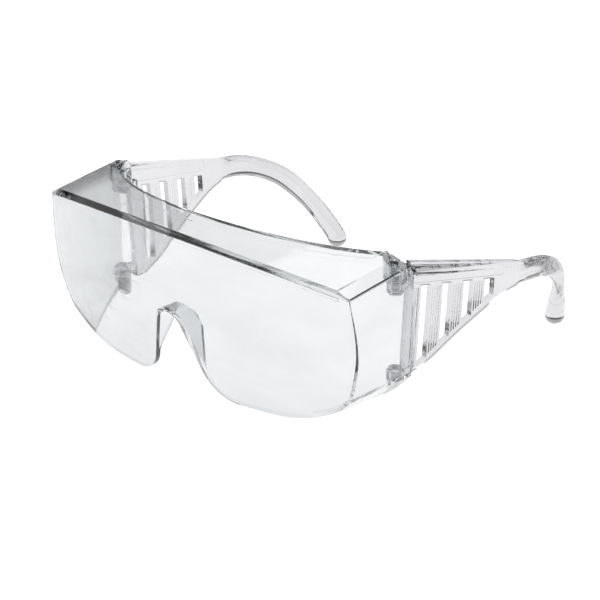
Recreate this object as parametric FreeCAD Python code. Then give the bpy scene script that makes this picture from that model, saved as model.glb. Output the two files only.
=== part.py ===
import FreeCAD, Part
import os
import math

# Clear over-glasses safety spectacles with the two temples open, standing on a table.
# Millimetres. +Z is up from the table, the wearer looks along -Y, +X is the wearer's left.
# The origin is on the table, in the symmetry plane, about midway between the front of
# the lens and the tips of the ear hooks.

V = FreeCAD.Vector

DEPTH_CENTRE = 59.0        # distance from the lens corners back to the origin

# front moulding
HALF_WIDTH = 77.4          # rear part of the side panels, outer face
WALL = 2.2                 # moulded wall of the lens, brow and side panels
# lens face: height, half width, Y in the middle, Y at the corner
LENS_FRONT = ((-3.0, 66.0, -4.6, 6.6), (9.5, 72.4, -8.6, 4.2), (20.0, 76.6, -11.5, 2.9),
              (33.0, 79.0, -14.8, 2.1), (44.0, 78.6, -16.8, 0.9), (54.0, 77.5, -18.4, -0.4),
              (74.0, 75.0, -21.6, -4.3))
BROW_MIDDLE = 69.0         # brow top above the lens corners, in the middle
BROW_SIDE = 55.1           # the same at the side panel
BROW_RISE = 0.12           # rise of the brow per millimetre towards the forehead
BEVEL_DOWN = 1.6           # bevel along the top of the lens
BEVEL_BACK = 1.9
LIP_DOWN = 2.9             # lower edge of the raised lip under the bevel
LIP_HALF = 74.0            # the lip ends this far to each side
LIP_HIGH = 0.2
FACET_IN = 72.5            # corner facet starts here on the brow
FACET_DOWN = 53.9          # and ends here on the side panel
FOREHEAD_HALF = 67.8       # forehead cut-out
FOREHEAD_SIDE = 27.3
FOREHEAD_MIDDLE = -4.3
RIM_WIDE = 5.6             # rim along the forehead edge
RIM_HIGH = 0.35
PANEL_REAR = 33.6          # rear edge of the side panel at mid height
PANEL_REAR_TOP = 29.6
PANEL_REAR_LOW = 32.6
LEDGE_LOW = 8.2            # underside of the bottom ledge at the side
LOW_FACET_HIGH = 16.0      # facet between the ledge and the side panel
LOW_FACET_IN = 69.6
CORNER_RADIUS = 3.2

# nose notch
NOTCH_TOP = 31.8
NOTCH_RADIUS = 6.3
NOTCH_SLOPE = math.radians(20.0)
NOTCH_FOOT = 9.7
LOBE_FLAT_END = 40.0
NOSE_WALL = 1.7

# hinges, both axes vertical
HINGE_X = 70.8
HINGE_Y = 29.5
PIN_RADIUS = 1.3
BORE_PLAY = 0.05
LUG_RADIUS = 3.3
LUG_PLAY = 0.35            # room round a lug in the front moulding
LOW_LUG = (14.4, 17.4)
HIGH_LUG = (47.6, 51.2)
LUG_ARM = 4.0              # width of the neck between a lug and the temple web
BARREL_RADIUS = 3.2
BARREL_FOOT = 7.2
PIN_FOOT = 11.0            # the lower pin and its blind bore start here
BOSS_TOP_DROP = 0.9        # boss top below the brow top
BOSS_LOW = 51.6
BOSS_RADIUS = 4.1
HEAD_RADIUS = 2.5
HEAD_THICK = 0.9

# temples
PLATE = 2.4
SPLAY = 6.8                # degrees outwards from the hinge
LEAN = 4.5                 # degrees outwards at the top
LEAN_HEIGHT = 40.0         # height about which it leans
RAIL_TOP = 59.2            # top of the temple at the hinge
RAIL_FALL = 0.248          # fall of the temple top per millimetre
WEB_FRONT = 34.0           # front edge of the web between the two hinge lugs
SHELF_WIDE = 6.2
SHELF_DROP = 2.3           # the flange slopes down outwards by this much at its front end
SHELF_THICK = 1.9
SHELF_START = 35.2
SHELF_END = 87.0
ARM_END = 88.0             # the web ends and the arm starts here
ARM_LOW = 35.0             # lower edge of the web there
SLOT_COUNT = 4
SLOT_FIRST = 41.2
SLOT_PITCH = 10.2
SLOT_WIDE = 4.6
FLUTE_DEEP = 0.22
FLUTE_PITCH = 1.1
TIP_RADIUS = 3.9


def prism_x(points, x0, x1):
    """Solid with the given outline in Y and Z, from x0 to x1."""
    wire = Part.makePolygon([V(x0, y, z) for y, z in points + points[:1]])
    return Part.Face(wire).extrude(V(x1 - x0, 0, 0))


def prism_y(points, y0, y1):
    """Solid with the given outline in X and Z, from y0 to y1."""
    wire = Part.makePolygon([V(x, y0, z) for x, z in points + points[:1]])
    return Part.Face(wire).extrude(V(0, y1 - y0, 0))


def mirror(shape):
    return shape.mirror(V(0, 0, 0), V(1, 0, 0))


def both(shape):
    return shape.fuse(mirror(shape))


def lens_block(inset):
    """Block bounded by the curved lens face and the side panels, moved inwards by inset."""
    sections = []
    rear = HALF_WIDTH - inset
    for z, half, middle, corner in LENS_FRONT:
        side = half - inset
        left = V(-side, corner + inset * 0.8, z)
        right = V(side, corner + inset * 0.8, z)
        arc = Part.Arc(left, V(0, middle + inset, z), right).toShape()
        edges = [
            arc,
            Part.makeLine(right, V(rear, 45, z)),
            Part.makeLine(V(rear, 45, z), V(-rear, 45, z)),
            Part.makeLine(V(-rear, 45, z), left),
        ]
        sections.append(Part.Wire(edges))
    return Part.makeLoft(sections, True, False)


def under_arch(drop):
    """Everything under the arched brow, lowered by drop."""
    y0 = -40.0
    y1 = 60.0
    side = BROW_SIDE + BROW_RISE * y0 - drop
    middle = BROW_MIDDLE + BROW_RISE * y0 - drop
    reach = HALF_WIDTH
    arc = Part.Arc(V(-reach, y0, side), V(0, y0, middle), V(reach, y0, side)).toShape()
    out = 8.0
    fall = 5.0
    wire = Part.Wire([
        arc,
        Part.makeLine(V(reach, y0, side), V(reach + out, y0, side - fall)),
        Part.makeLine(V(reach + out, y0, side - fall), V(reach + out, y0, -60)),
        Part.makeLine(V(reach + out, y0, -60), V(-reach - out, y0, -60)),
        Part.makeLine(V(-reach - out, y0, -60), V(-reach - out, y0, side - fall)),
        Part.makeLine(V(-reach - out, y0, side - fall), V(-reach, y0, side)),
    ])
    run = y1 - y0
    return Part.Face(wire).extrude(V(0, run, run * BROW_RISE))


def corner_facets(inset):
    """Cutters for the sloping facet above each side panel."""
    y0 = -40.0
    run = 100.0
    lift = BROW_RISE * y0
    high = BROW_MIDDLE - (BROW_MIDDLE - BROW_SIDE) * (FACET_IN / HALF_WIDTH) ** 2
    dx = HALF_WIDTH - FACET_IN
    dz = high - FACET_DOWN
    length = math.hypot(dx, dz)
    shift_x = -inset * dz / length
    shift_z = -inset * dx / length
    x0 = FACET_IN - dx + shift_x
    z0 = high + dz + lift + shift_z
    x1 = HALF_WIDTH + dx + shift_x
    z1 = FACET_DOWN - dz + lift + shift_z
    wire = Part.makePolygon([V(x0, y0, z0), V(x1, y0, z1), V(x1, y0, z1 + 40), V(x0, y0, z0 + 40),
                             V(x0, y0, z0)])
    return both(Part.Face(wire).extrude(V(0, run, run * BROW_RISE)))


def low_facets(inset):
    """Cutters for the facet under each side panel."""
    dx = HALF_WIDTH - LOW_FACET_IN
    dz = LOW_FACET_HIGH - LEDGE_LOW
    length = math.hypot(dx, dz)
    shift_x = -inset * dz / length
    shift_z = inset * dx / length
    x0 = LOW_FACET_IN - dx + shift_x
    z0 = LEDGE_LOW - dz + shift_z
    x1 = HALF_WIDTH + dx + shift_x
    z1 = LOW_FACET_HIGH + dz + shift_z
    return both(prism_y([(x0, z0), (x1, z1), (x1, z1 - 60), (x0, z0 - 60)], -40, 60))


def notch_outline(grow, y):
    """Closed wire of the nose notch, made wider by grow."""
    radius = NOTCH_RADIUS + grow
    centre = NOTCH_TOP - NOTCH_RADIUS
    tx = radius * math.cos(NOTCH_SLOPE)
    tz = centre + radius * math.sin(NOTCH_SLOPE)
    fall = tz + 12.0
    bx = tx + fall * math.tan(NOTCH_SLOPE)
    arc = Part.Arc(V(-tx, y, tz), V(0, y, centre + radius), V(tx, y, tz)).toShape()
    return Part.Wire([
        arc,
        Part.makeLine(V(tx, y, tz), V(bx, y, tz - fall)),
        Part.makeLine(V(bx, y, tz - fall), V(-bx, y, tz - fall)),
        Part.makeLine(V(-bx, y, tz - fall), V(-tx, y, tz)),
    ])


def notch(grow):
    return Part.Face(notch_outline(grow, -40)).extrude(V(0, 80, 0))


def lobe_cut():
    """Everything under the rounded lower edge of the lens, on one side."""
    y = -40.0
    foot_x = (NOTCH_RADIUS * math.cos(NOTCH_SLOPE)
              + (NOTCH_TOP - NOTCH_RADIUS + NOTCH_RADIUS * math.sin(NOTCH_SLOPE) - NOTCH_FOOT)
              * math.tan(NOTCH_SLOPE))
    inner_radius = NOTCH_FOOT / (1 - math.sin(NOTCH_SLOPE))
    centre_x = foot_x + inner_radius * math.cos(NOTCH_SLOPE)
    turn = math.radians(205.0 + 20.0)
    inner = Part.Arc(V(foot_x, y, NOTCH_FOOT),
                     V(centre_x + inner_radius * math.cos(turn), y, inner_radius * (1 + math.sin(turn))),
                     V(centre_x, y, 0)).toShape()
    run = LOW_FACET_IN - LOBE_FLAT_END
    outer_radius = (run * run + LEDGE_LOW * LEDGE_LOW) / (2 * LEDGE_LOW)
    mid = run * 0.55
    outer = Part.Arc(V(LOBE_FLAT_END, y, 0),
                     V(LOBE_FLAT_END + mid, y, outer_radius - math.sqrt(outer_radius ** 2 - mid ** 2)),
                     V(LOW_FACET_IN, y, LEDGE_LOW)).toShape()
    wire = Part.Wire([
        inner,
        Part.makeLine(V(centre_x, y, 0), V(LOBE_FLAT_END, y, 0)),
        outer,
        Part.makeLine(V(LOW_FACET_IN, y, LEDGE_LOW), V(90, y, LEDGE_LOW)),
        Part.makeLine(V(90, y, LEDGE_LOW), V(90, y, -20)),
        Part.makeLine(V(90, y, -20), V(0, y, -20)),
        Part.makeLine(V(0, y, -20), V(0, y, NOTCH_FOOT)),
        Part.makeLine(V(0, y, NOTCH_FOOT), V(foot_x, y, NOTCH_FOOT)),
    ])
    return Part.Face(wire).extrude(V(0, 110, 0))


def side_profile():
    """Side view of the front moulding, with the bulged rear edge of the panels."""
    y0 = -45.0
    arc = Part.Arc(V(-90, PANEL_REAR_LOW, 12), V(-90, PANEL_REAR, 36),
                   V(-90, PANEL_REAR_TOP + 2.2, 56.5)).toShape()
    wire = Part.Wire([
        arc,
        Part.makeLine(V(-90, PANEL_REAR_TOP + 2.2, 56.5), V(-90, PANEL_REAR_TOP, 62)),
        Part.makeLine(V(-90, PANEL_REAR_TOP, 62), V(-90, PANEL_REAR_TOP, 90)),
        Part.makeLine(V(-90, PANEL_REAR_TOP, 90), V(-90, y0, 90)),
        Part.makeLine(V(-90, y0, 90), V(-90, y0, -20)),
        Part.makeLine(V(-90, y0, -20), V(-90, PANEL_REAR_LOW, -20)),
        Part.makeLine(V(-90, PANEL_REAR_LOW, -20), V(-90, PANEL_REAR_LOW, 12)),
    ])
    return Part.Face(wire).extrude(V(180, 0, 0))


def forehead_cut():
    """Concave cut-out of the brow for the forehead."""
    z = 40.0
    a = V(-FOREHEAD_HALF, FOREHEAD_SIDE, z)
    b = V(FOREHEAD_HALF, FOREHEAD_SIDE, z)
    arc = Part.Arc(a, V(0, FOREHEAD_MIDDLE, z), b).toShape()
    side = HALF_WIDTH - WALL
    wire = Part.Wire([
        arc,
        Part.makeLine(b, V(side, FOREHEAD_SIDE + 3, z)),
        Part.makeLine(V(side, FOREHEAD_SIDE + 3, z), V(side, 70, z)),
        Part.makeLine(V(side, 70, z), V(-side, 70, z)),
        Part.makeLine(V(-side, 70, z), V(-side, FOREHEAD_SIDE + 3, z)),
        Part.makeLine(V(-side, FOREHEAD_SIDE + 3, z), a),
    ])
    return Part.Face(wire).extrude(V(0, 0, 50))


def floor_opening():
    """Opening in the bottom between the two corner ledges."""
    z = -30.0
    side = Part.Arc(V(72.6, 34, z), V(64.0, 14.5, z), V(54.0, 1.0, z)).toShape()
    other = Part.Arc(V(-54.0, 1.0, z), V(-64.0, 14.5, z), V(-72.6, 34, z)).toShape()
    wire = Part.Wire([
        side,
        Part.makeLine(V(54.0, 1.0, z), V(40, -30, z)),
        Part.makeLine(V(40, -30, z), V(-40, -30, z)),
        Part.makeLine(V(-40, -30, z), V(-54.0, 1.0, z)),
        other,
        Part.makeLine(V(-72.6, 34, z), V(-72.6, 70, z)),
        Part.makeLine(V(-72.6, 70, z), V(72.6, 70, z)),
        Part.makeLine(V(72.6, 70, z), V(72.6, 34, z)),
    ])
    return Part.Face(wire).extrude(V(0, 0, 50))


def post(radius, z0, z1):
    return Part.makeCylinder(radius, z1 - z0, V(HINGE_X, HINGE_Y, z0))


def nose_flanges(solid_block):
    """Thin flanges that run back from the sides of the notch and rest on the nose."""
    band = notch(NOSE_WALL).cut(notch(0.0))
    depth = prism_x([(-30, 36.5), (-8.5, 36.5), (-4.5, 31), (-3.2, 26), (-4.6, 20), (-6, 14),
                     (-6.8, 9.5), (-30, 9.5)], -30, 30)
    return band.common(depth).common(solid_block)


def bottom_ledges():
    """Ledges that follow the lower edge of the lens back to the hinges."""
    raised = lobe_cut()
    raised.translate(V(0, 0, WALL))
    return both(raised).cut(floor_opening())


def front_shield():
    outer = lens_block(0.0)
    inner = lens_block(WALL)
    body = outer.common(under_arch(0.0))
    crest = [e for e in body.Edges if crest_edge(e)]
    body = body.makeChamfer(BEVEL_DOWN, BEVEL_BACK, crest)
    body = body.common(side_profile())
    body = body.cut(corner_facets(0.0)).cut(low_facets(0.0))
    corners = [e for e in body.Edges if corner_edge(e)]
    body = body.makeFillet(CORNER_RADIUS, corners)
    room = inner.common(under_arch(WALL + 0.1)).cut(corner_facets(WALL)).cut(low_facets(WALL))
    shell = body.cut(room).cut(forehead_cut()).cut(inner.common(floor_opening()))
    shell = shell.fuse(bottom_ledges().common(body))
    shell = shell.cut(both(lobe_cut())).cut(notch(0.0))
    shell = shell.fuse(nose_flanges(inner))
    shell = shell.fuse(brow_rim()).fuse(lens_lip())
    shell = shell.fuse(both(hinge_boss(body).fuse(hinge_barrel(body))))
    bores = post(PIN_RADIUS, HIGH_LUG[1], BOSS_LOW + 5.0).fuse(post(PIN_RADIUS, PIN_FOOT, LOW_LUG[0]))
    return shell.cut(both(bores)).cut(both(lug_room()))


def lug_room():
    """Room in the corner facet for the lower lug of the temple and the pin head on it."""
    low = LOW_LUG[0] - LUG_PLAY
    high = LOW_LUG[1] + 2.0
    half = LUG_ARM / 2 + LUG_PLAY
    neck = Part.makeBox(2 * half, 8.0, high - low, V(HINGE_X - half, HINGE_Y, low))
    return post(LUG_RADIUS + LUG_PLAY, low, high).fuse(neck)


def lens_lip():
    """Narrow raised lip along the top of the lens face, just under the bevel."""
    skin = lens_block(-LIP_HIGH).cut(lens_block(WALL / 2))
    band = under_arch(BEVEL_DOWN + 0.1).cut(under_arch(LIP_DOWN))
    front = Part.makeBox(2 * LIP_HALF, 40, 90, V(-LIP_HALF, -35, 0))
    return skin.common(band).common(front)


def brow_rim():
    """Slightly raised rim along the forehead edge of the brow."""
    z = 40.0
    front = RIM_WIDE
    rear = Part.Arc(V(-FOREHEAD_HALF, FOREHEAD_SIDE, z), V(0, FOREHEAD_MIDDLE, z),
                    V(FOREHEAD_HALF, FOREHEAD_SIDE, z)).toShape()
    fore = Part.Arc(V(-FOREHEAD_HALF, FOREHEAD_SIDE - front, z), V(0, FOREHEAD_MIDDLE - front, z),
                    V(FOREHEAD_HALF, FOREHEAD_SIDE - front, z)).toShape()
    wire = Part.Wire([
        rear,
        Part.makeLine(V(FOREHEAD_HALF, FOREHEAD_SIDE, z), V(FOREHEAD_HALF, FOREHEAD_SIDE - front, z)),
        fore,
        Part.makeLine(V(-FOREHEAD_HALF, FOREHEAD_SIDE - front, z), V(-FOREHEAD_HALF, FOREHEAD_SIDE, z)),
    ])
    column = Part.Face(wire).extrude(V(0, 0, 50))
    return column.common(under_arch(-RIM_HIGH)).cut(under_arch(WALL / 2))


def hinge_boss(envelope):
    """Upper hinge boss, hanging under the brow in the corner."""
    round_part = post(BOSS_RADIUS, BOSS_LOW, 80)
    side = Part.makeBox(8, 3.4, 40, V(HINGE_X, HINGE_Y - 2.0, BOSS_LOW))
    return round_part.fuse(side).common(envelope).common(under_arch(BOSS_TOP_DROP))


def hinge_barrel(envelope):
    """Lower hinge barrel, standing in the corner ledge."""
    web = Part.makeBox(3.6, 5.0, WALL, V(HINGE_X, HINGE_Y - 2.5, LEDGE_LOW))
    barrel = post(BARREL_RADIUS, BARREL_FOOT, LOW_LUG[0] - 0.4)
    return barrel.fuse(web).common(envelope)


def corner_edge(edge):
    """True for the long upright edges between the lens and the side panels."""
    box = edge.BoundBox
    return box.ZLength > 25 and box.YMax < 15 and box.XLength < 12 and abs(box.XMin) > 65


def crest_edge(edge):
    """True for the long edge between the lens face and the brow."""
    box = edge.BoundBox
    return box.XLength > 120 and box.YMax < 5 and box.ZMin > 45


def tilt(shape):
    """Leans and splays a shape drawn in the plane of the hinge axis."""
    pivot = V(HINGE_X, HINGE_Y, LEAN_HEIGHT)
    shape.rotate(pivot, V(0, 1, 0), LEAN)
    shape.rotate(pivot, V(0, 0, 1), -SPLAY)
    return shape


def rail_z(y):
    return RAIL_TOP - RAIL_FALL * (y - HINGE_Y)


def low_edge():
    """Lower edge of the temple in side view, from the front to the arm."""
    points = [V(0, 34.6, 12.6), V(0, 44.0, 14.2), V(0, 57.3, 21.4), V(0, 71.0, 28.6),
              V(0, 80.0, 32.8), V(0, ARM_END, ARM_LOW)]
    curve = Part.BSplineCurve()
    curve.interpolate(points)
    return curve


def plate_blank():
    """Flat web of the temple without its slots."""
    x0 = HINGE_X - PLATE / 2
    low = low_edge().toShape()
    start = V(0, 34.6, 12.6)
    end = V(0, ARM_END, ARM_LOW)
    corners = [end, V(0, ARM_END, rail_z(ARM_END)), V(0, SHELF_START, rail_z(SHELF_START)),
               V(0, SHELF_START, HIGH_LUG[1]), V(0, WEB_FRONT, HIGH_LUG[1]), V(0, WEB_FRONT, LOW_LUG[0]), start]
    edges = [low] + [Part.makeLine(corners[i], corners[i + 1]) for i in range(len(corners) - 1)]
    face = Part.Face(Part.Wire(edges))
    plate = face.extrude(V(PLATE, 0, 0))
    plate.translate(V(x0, 0, 0))
    return plate


def shelf_section(y, wide, drop):
    """Cross-section of the flange, sloping down outwards by drop."""
    x0 = HINGE_X - PLATE / 2
    x1 = x0 + wide
    top = rail_z(y)
    low = top - SHELF_THICK
    return Part.makePolygon([V(x0, y, top), V(x1, y, top - drop), V(x1, y, low - drop),
                             V(x0, y, low), V(x0, y, top)])


def top_shelf():
    """Flange along the top of the temple, wide at the front and running out at the arm."""
    front = shelf_section(SHELF_START, SHELF_WIDE, SHELF_DROP)
    rear = shelf_section(SHELF_END, PLATE, 0.0)
    return Part.makeLoft([front, rear], True, True)


def window_rail():
    """Raised band between the flange and the slots, outside face."""
    x0 = HINGE_X + PLATE / 2
    drop = SHELF_THICK + 4.6
    return prism_x([(36.5, rail_z(36.5) - 1.0), (80, rail_z(80) - 1.0), (80, rail_z(80) - drop + 1.6),
                    (36.5, rail_z(36.5) - drop - 1.6)], x0 - 0.2, x0 + 0.8)


def slot_top(y):
    return rail_z(y) - 9.4 + 0.075 * (y - 40)


def slot_foot(y):
    """Height of the lower end of a slot, above the lower edge."""
    return 14.6 + 0.565 * (y - 41.6)


def slots():
    """Four ventilation slots right through the web."""
    cutters = []
    for i in range(SLOT_COUNT):
        y0 = SLOT_FIRST + i * SLOT_PITCH
        y1 = y0 + SLOT_WIDE
        outline = [(y0, slot_foot(y0)), (y1, slot_foot(y1)), (y1, slot_top(y1)), (y0, slot_top(y0))]
        cutters.append(prism_x(outline, HINGE_X - 6, HINGE_X + 6))
    return cutters


def flutes():
    """Fine upright grooves on the outer face of the bars between the slots."""
    cutters = []
    face = HINGE_X + PLATE / 2
    for i in range(SLOT_COUNT):
        end = SLOT_FIRST + i * SLOT_PITCH
        start = end - (SLOT_PITCH - SLOT_WIDE)
        count = int((end - start - 0.6) / FLUTE_PITCH)
        for k in range(count):
            y = start + 0.85 + k * FLUTE_PITCH
            low = slot_foot(y) + 1.2
            high = slot_top(y) - 0.6
            points = [V(face + 0.1, y - 0.4, low), V(face - FLUTE_DEEP, y, low),
                      V(face + 0.1, y + 0.4, low), V(face + 0.1, y - 0.4, low)]
            cutters.append(Part.Face(Part.makePolygon(points)).extrude(V(0, 0, high - low)))
    return cutters


def ring(centre, along, up, half_up, half_wide):
    """Oval section of the arm, in four quarters that start at its corners."""
    side = along.cross(up)
    oval = Part.Ellipse(centre + up * half_up, centre + side * half_wide, centre)
    quarters = []
    for k in range(4):
        start = math.radians(45 + 90 * k)
        quarters.append(Part.ArcOfEllipse(oval, start, start + math.pi / 2).toShape())
    return Part.Wire(quarters)


def web_end():
    """Rear end of the web, where the arm takes over."""
    x0 = HINGE_X - PLATE / 2
    x1 = HINGE_X + PLATE / 2
    top = rail_z(ARM_END)
    corners = [V(x1, ARM_END, top), V(x1, ARM_END, ARM_LOW), V(x0, ARM_END, ARM_LOW), V(x0, ARM_END, top)]
    return tilt(Part.makePolygon(corners + corners[:1]))


def ear_hook():
    """Rear arm and ear hook, bending down and inwards to a round tip."""
    # centre, half height, half width
    spine = [
        (V(77.8, 93.0, 39.4), 4.5, 1.45),
        (V(77.4, 98.5, 38.7), 4.3, 1.7),
        (V(76.1, 105.0, 37.0), 4.0, 1.9),
        (V(73.9, 111.5, 34.2), 3.9, 2.1),
        (V(71.3, 117.6, 30.2), 3.9, 2.3),
        (V(68.5, 122.6, 25.0), 3.8, 2.4),
        (V(64.9, 127.0, 18.9), 3.6, 2.5),
        (V(61.5, 130.4, 12.6), 3.65, 3.1),
        (V(59.3, 132.6, 7.9), 3.75, 3.55),
        (V(57.6, 134.2, 3.9), 3.78, 3.77),
    ]
    up = V(0, 0, 1)
    rings = [web_end()]
    for i, (centre, half_up, half_wide) in enumerate(spine):
        before = spine[max(i - 1, 0)][0]
        after = spine[min(i + 1, len(spine) - 1)][0]
        along = (after - before).normalize()
        up = (up - along * up.dot(along)).normalize()
        rings.append(ring(centre, along, up, half_up, half_wide))
    tip = Part.makeSphere(TIP_RADIUS, V(57.6, 134.2, TIP_RADIUS))
    return Part.makeLoft(rings, True, False).fuse(tip)


def hinge_lugs():
    """Flat lugs that turn on the hinge pins, each on a short neck."""
    lugs = []
    for low, high in (LOW_LUG, HIGH_LUG):
        neck = Part.makeBox(LUG_ARM, 6.6, high - low, V(HINGE_X - LUG_ARM / 2, HINGE_Y, low))
        lugs.append(post(LUG_RADIUS, low, high).fuse(neck))
    return lugs[0].fuse(lugs[1])


def temple():
    web = plate_blank().cut(slots()).cut(flutes())
    web = web.fuse(top_shelf()).fuse(window_rail())
    body = tilt(web).fuse(hinge_lugs()).fuse(ear_hook())
    body = body.cut(post(PIN_RADIUS + BORE_PLAY, 0, 70))
    room_low = post(HEAD_RADIUS + 0.4, LOW_LUG[1], LOW_LUG[1] + HEAD_THICK + 1.2)
    room_high = post(HEAD_RADIUS + 0.4, HIGH_LUG[0] - HEAD_THICK - 1.2, HIGH_LUG[0])
    return body.cut(room_low).cut(room_high).removeSplitter()


def lower_pin():
    pin = post(PIN_RADIUS, PIN_FOOT, LOW_LUG[1] + 0.2)
    return pin.fuse(post(HEAD_RADIUS, LOW_LUG[1] + 0.2, LOW_LUG[1] + 0.2 + HEAD_THICK))


def upper_pin():
    pin = post(PIN_RADIUS, HIGH_LUG[0] - 0.2, BOSS_LOW + 5.0)
    return pin.fuse(post(HEAD_RADIUS, HIGH_LUG[0] - 0.2 - HEAD_THICK, HIGH_LUG[0] - 0.2))


def save(name, shape):
    """Moves a finished piece to the origin and writes its file."""
    shape.translate(V(0, -DEPTH_CENTRE, 0))
    shape.exportStep("parts/" + name + ".step")


os.makedirs("parts", exist_ok=True)
left_temple = temple()
left_low = lower_pin()
left_high = upper_pin()
save("front_shield", front_shield())
save("temple_right", mirror(left_temple))
save("temple_left", left_temple)
save("lower_hinge_pins", Part.makeCompound([left_low.copy(), mirror(left_low)]))
save("upper_hinge_pins", Part.makeCompound([left_high.copy(), mirror(left_high)]))
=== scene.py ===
import math

import bpy
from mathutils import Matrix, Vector

# Clear safety glasses standing open on a white table. Metres, same frame as the CAD.

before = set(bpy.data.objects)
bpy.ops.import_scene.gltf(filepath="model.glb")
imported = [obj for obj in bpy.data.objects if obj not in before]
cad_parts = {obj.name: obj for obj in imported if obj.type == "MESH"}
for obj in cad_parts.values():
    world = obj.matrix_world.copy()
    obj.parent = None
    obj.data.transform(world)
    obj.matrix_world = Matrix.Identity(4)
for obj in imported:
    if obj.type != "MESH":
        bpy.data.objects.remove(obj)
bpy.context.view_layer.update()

DEPTH_CENTRE = 0.059                     # lens corners to the origin, along Y
CAMERA_TARGET = Vector((-0.00028, 0.05461 - DEPTH_CENTRE, 0.01609))
CAMERA_DISTANCE = 1.3135
CAMERA_AZIMUTH = math.radians(44.507)
CAMERA_ELEVATION = math.radians(22.255)
CAMERA_FOCAL = 209.87                    # millimetres, on a 36 mm sensor
PLASTIC_IOR = 1.586                      # polycarbonate

SCRATCH_HAZE = 0.10                      # roughness added by a hair scratch
SCRATCH_DEPTH = 0.00002
FLOW_DEPTH = 0.0004                      # height of the moulding waves
TABLE_SIZE = 8.0
TABLE_GLOW = 0.85                        # keeps the table white next to the lamps
TABLE_GAP = 0.0002                       # table top below the glasses
LAMP_AIM = (0, 0, 0.03)
LIGHT_BOUNCES = 24                       # light is guided a long way inside the clear walls
GLOSS_BOUNCES = 12


def node(tree, kind, x, y, **sockets):
    """New shader node with the given inputs set."""
    n = tree.nodes.new(kind)
    n.location = (x, y)
    for key, value in sockets.items():
        n.inputs[key.replace("_", " ")].default_value = value
    return n


def ramp(tree, x, y, stops):
    """Colour ramp with (position, grey or colour) stops."""
    n = tree.nodes.new("ShaderNodeValToRGB")
    n.location = (x, y)
    elements = n.color_ramp.elements
    while len(elements) < len(stops):
        elements.new(0.5)
    for element, (position, value) in zip(elements, stops):
        element.position = position
        element.color = (*value, 1.0) if isinstance(value, tuple) else (value, value, value, 1.0)
    return n


def blank_material(name):
    mat = bpy.data.materials.new(name)
    mat.use_nodes = True
    tree = mat.node_tree
    tree.nodes.clear()
    out = tree.nodes.new("ShaderNodeOutputMaterial")
    out.location = (900, 0)
    return mat, tree, out


def stretched_noise(tree, coord, y, stretch, turn, scale, detail):
    """Noise drawn out along one direction, for scratches and flow marks."""
    mapping = node(tree, "ShaderNodeMapping", -1000, y)
    mapping.inputs["Rotation"].default_value = turn
    mapping.inputs["Scale"].default_value = stretch
    tree.links.new(coord.outputs["Object"], mapping.inputs["Vector"])
    noise = node(tree, "ShaderNodeTexNoise", -800, y, Scale=scale, Detail=detail, Roughness=0.55)
    tree.links.new(mapping.outputs["Vector"], noise.inputs["Vector"])
    return noise


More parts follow.
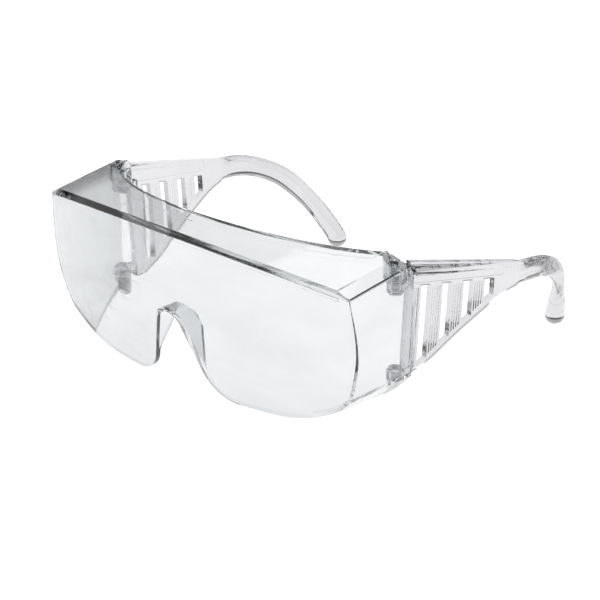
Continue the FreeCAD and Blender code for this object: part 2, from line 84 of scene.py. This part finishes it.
def clear_plastic(name, tint_low, tint_high, rough_low, rough_high, absorption, density, relief):
    """Polished clear polycarbonate with handling haze, hair scratches and faint moulding flow.

    The tints colour each surface that light crosses, and the absorption colours the inside.
    """
    mat, tree, out = blank_material(name)
    coord = node(tree, "ShaderNodeTexCoord", -1250, 0)
    smudge = stretched_noise(tree, coord, 300, (1, 1, 1), (0.3, 0.5, 0.2), 55.0, 4.0)
    flow = stretched_noise(tree, coord, 50, (1, 1, 2.4), (0, 0, 0), 24.0, 2.0)
    hair_a = stretched_noise(tree, coord, -200, (60, 60, 2600), (0.7, 0.25, 0.4), 1.0, 1.0)
    hair_b = stretched_noise(tree, coord, -450, (2400, 60, 70), (-0.3, 0.5, 1.1), 1.0, 1.0)

    tint = ramp(tree, -300, 350, [(0.35, tint_low), (0.7, tint_high)])
    tree.links.new(flow.outputs["Fac"], tint.inputs["Fac"])

    rough = node(tree, "ShaderNodeMapRange", -300, 100)
    rough.inputs["From Min"].default_value = 0.42
    rough.inputs["From Max"].default_value = 0.74
    rough.inputs["To Min"].default_value = rough_low
    rough.inputs["To Max"].default_value = rough_high
    tree.links.new(smudge.outputs["Fac"], rough.inputs["Value"])

    cut_a = ramp(tree, -560, -200, [(0.70, 0.0), (0.76, 1.0)])
    tree.links.new(hair_a.outputs["Fac"], cut_a.inputs["Fac"])
    cut_b = ramp(tree, -560, -450, [(0.72, 0.0), (0.78, 1.0)])
    tree.links.new(hair_b.outputs["Fac"], cut_b.inputs["Fac"])
    hairs = node(tree, "ShaderNodeMath", -300, -300)
    hairs.operation = "MAXIMUM"
    tree.links.new(cut_a.outputs["Color"], hairs.inputs[0])
    tree.links.new(cut_b.outputs["Color"], hairs.inputs[1])

    scratched = node(tree, "ShaderNodeMath", -80, 60)
    scratched.operation = "MULTIPLY_ADD"
    scratched.inputs[1].default_value = SCRATCH_HAZE
    tree.links.new(hairs.outputs["Value"], scratched.inputs[0])
    tree.links.new(rough.outputs["Result"], scratched.inputs[2])

    waves = node(tree, "ShaderNodeBump", 100, -150, Strength=relief, Distance=FLOW_DEPTH)
    tree.links.new(flow.outputs["Fac"], waves.inputs["Height"])
    lines = node(tree, "ShaderNodeBump", 300, -250, Strength=0.25, Distance=SCRATCH_DEPTH)
    lines.invert = True
    tree.links.new(hairs.outputs["Value"], lines.inputs["Height"])
    tree.links.new(waves.outputs["Normal"], lines.inputs["Normal"])

    shader = node(tree, "ShaderNodeBsdfPrincipled", 600, 0, IOR=PLASTIC_IOR)
    shader.inputs["Transmission Weight"].default_value = 1.0
    shader.inputs["Metallic"].default_value = 0.0
    tree.links.new(tint.outputs["Color"], shader.inputs["Base Color"])
    tree.links.new(scratched.outputs["Value"], shader.inputs["Roughness"])
    tree.links.new(lines.outputs["Normal"], shader.inputs["Normal"])
    tree.links.new(shader.outputs["BSDF"], out.inputs["Surface"])

    inside = node(tree, "ShaderNodeVolumeAbsorption", 600, -300, Density=density)
    inside.inputs["Color"].default_value = (*absorption, 1.0)
    tree.links.new(inside.outputs["Volume"], out.inputs["Volume"])
    return mat


def paint(name, mat):
    """Gives a CAD node its material."""
    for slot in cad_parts[name].material_slots:
        slot.link = "OBJECT"
        slot.material = mat


def floor():
    """White table top, large enough to fill the camera's view."""
    bpy.ops.mesh.primitive_plane_add(size=TABLE_SIZE, location=(0, 0, -TABLE_GAP))
    plane = bpy.context.object
    plane.name = "floor"
    mat, tree, out = blank_material("white_table")
    coord = node(tree, "ShaderNodeTexCoord", -900, 0)
    grain = node(tree, "ShaderNodeTexNoise", -700, 0, Scale=220.0, Detail=3.0)
    tree.links.new(coord.outputs["Object"], grain.inputs["Vector"])
    colour = ramp(tree, -450, 100, [(0.3, 0.40), (0.7, 0.43)])
    tree.links.new(grain.outputs["Fac"], colour.inputs["Fac"])
    shader = node(tree, "ShaderNodeBsdfPrincipled", 300, 0, Roughness=0.7)
    shader.inputs["Specular IOR Level"].default_value = 0.1
    shader.inputs["Emission Color"].default_value = (1, 1, 1, 1)
    shader.inputs["Emission Strength"].default_value = TABLE_GLOW
    tree.links.new(colour.outputs["Color"], shader.inputs["Base Color"])
    tree.links.new(shader.outputs["BSDF"], out.inputs["Surface"])
    plane.data.materials.append(mat)


def soft_light(name, spot, size, power):
    """Rectangular white soft box that looks at the glasses."""
    data = bpy.data.lights.new(name, "AREA")
    data.shape = "RECTANGLE"
    data.size = size[0]
    data.size_y = size[1]
    data.energy = power
    lamp = bpy.data.objects.new(name, data)
    lamp.location = spot
    lamp.rotation_euler = (Vector(LAMP_AIM) - Vector(spot)).to_track_quat("-Z", "Y").to_euler()
    bpy.context.scene.collection.objects.link(lamp)


def studio():
    """Pale even world with a dark band at the horizon, which draws the outlines of the clear walls."""
    world = bpy.data.worlds.new("studio")
    bpy.context.scene.world = world
    world.use_nodes = True
    tree = world.node_tree
    tree.nodes.clear()
    out = tree.nodes.new("ShaderNodeOutputWorld")
    back = tree.nodes.new("ShaderNodeBackground")
    back.inputs["Strength"].default_value = 1.0
    coord = tree.nodes.new("ShaderNodeTexCoord")
    toward = tree.nodes.new("ShaderNodeVectorMath")
    toward.operation = "DOT_PRODUCT"
    toward.inputs[1].default_value = (math.sin(CAMERA_AZIMUTH), -math.cos(CAMERA_AZIMUTH), 0.0)
    tree.links.new(coord.outputs["Generated"], toward.inputs[0])
    shift = tree.nodes.new("ShaderNodeMapRange")
    shift.inputs["From Min"].default_value = -1.0
    shift.inputs["From Max"].default_value = 1.0
    tree.links.new(toward.outputs["Value"], shift.inputs["Value"])
    fade = ramp(tree, 0, 0, [(0.0, 0.70), (0.45, 0.80), (0.75, 0.80), (1.0, 0.60)])
    tree.links.new(shift.outputs["Result"], fade.inputs["Fac"])
    height = tree.nodes.new("ShaderNodeSeparateXYZ")
    tree.links.new(coord.outputs["Generated"], height.inputs["Vector"])
    rise = ramp(tree, 0, -250, [(0.0, 0.02), (0.07, 0.05), (0.17, 0.85), (1.0, 1.0)])
    tree.links.new(height.outputs["Z"], rise.inputs["Fac"])
    mix = tree.nodes.new("ShaderNodeVectorMath")
    mix.operation = "MULTIPLY"
    tree.links.new(fade.outputs["Color"], mix.inputs[0])
    tree.links.new(rise.outputs["Color"], mix.inputs[1])
    tree.links.new(mix.outputs["Vector"], back.inputs["Color"])
    tree.links.new(back.outputs["Background"], out.inputs["Surface"])
    soft_light("top_box", (-0.2, 0.3, 1.3), (1.1, 1.1), 3.5)
    soft_light("left_box", (-1.2, -0.7, 0.8), (0.5, 0.8), 2.0)


def camera():
    """Camera at the three-quarter view from the wearer's left front."""
    data = bpy.data.cameras.new("camera")
    data.sensor_fit = "HORIZONTAL"
    data.sensor_width = 36.0
    data.lens = CAMERA_FOCAL
    data.clip_start = 0.05
    data.clip_end = 30.0
    eye = bpy.data.objects.new("camera", data)
    back = Vector((math.sin(CAMERA_AZIMUTH) * math.cos(CAMERA_ELEVATION),
                   -math.cos(CAMERA_AZIMUTH) * math.cos(CAMERA_ELEVATION),
                   math.sin(CAMERA_ELEVATION)))
    eye.location = CAMERA_TARGET + back * CAMERA_DISTANCE
    eye.rotation_euler = (-back).to_track_quat("-Z", "Y").to_euler()
    bpy.context.scene.collection.objects.link(eye)
    bpy.context.scene.camera = eye


front_plastic = clear_plastic("front_clear", (0.715, 0.725, 0.735), (0.77, 0.782, 0.792), 0.012, 0.07,
                              (0.46, 0.49, 0.50), 22.0, 0.10)
temple_plastic = clear_plastic("temple_clear", (0.63, 0.63, 0.645), (0.69, 0.69, 0.705), 0.03, 0.12,
                               (0.50, 0.50, 0.52), 14.0, 0.10)
pin_plastic = clear_plastic("pin_clear", (0.84, 0.85, 0.87), (0.90, 0.90, 0.91), 0.05, 0.16,
                            (0.45, 0.50, 0.60), 40.0, 0.20)
paint("front_shield", front_plastic)
paint("temple_left", temple_plastic)
paint("temple_right", temple_plastic)
paint("upper_hinge_pins", pin_plastic)
paint("lower_hinge_pins", pin_plastic)
floor()
studio()
camera()
scene = bpy.context.scene
scene.view_settings.view_transform = "Standard"
scene.cycles.max_bounces = LIGHT_BOUNCES
scene.cycles.transmission_bounces = LIGHT_BOUNCES
scene.cycles.glossy_bounces = GLOSS_BOUNCES
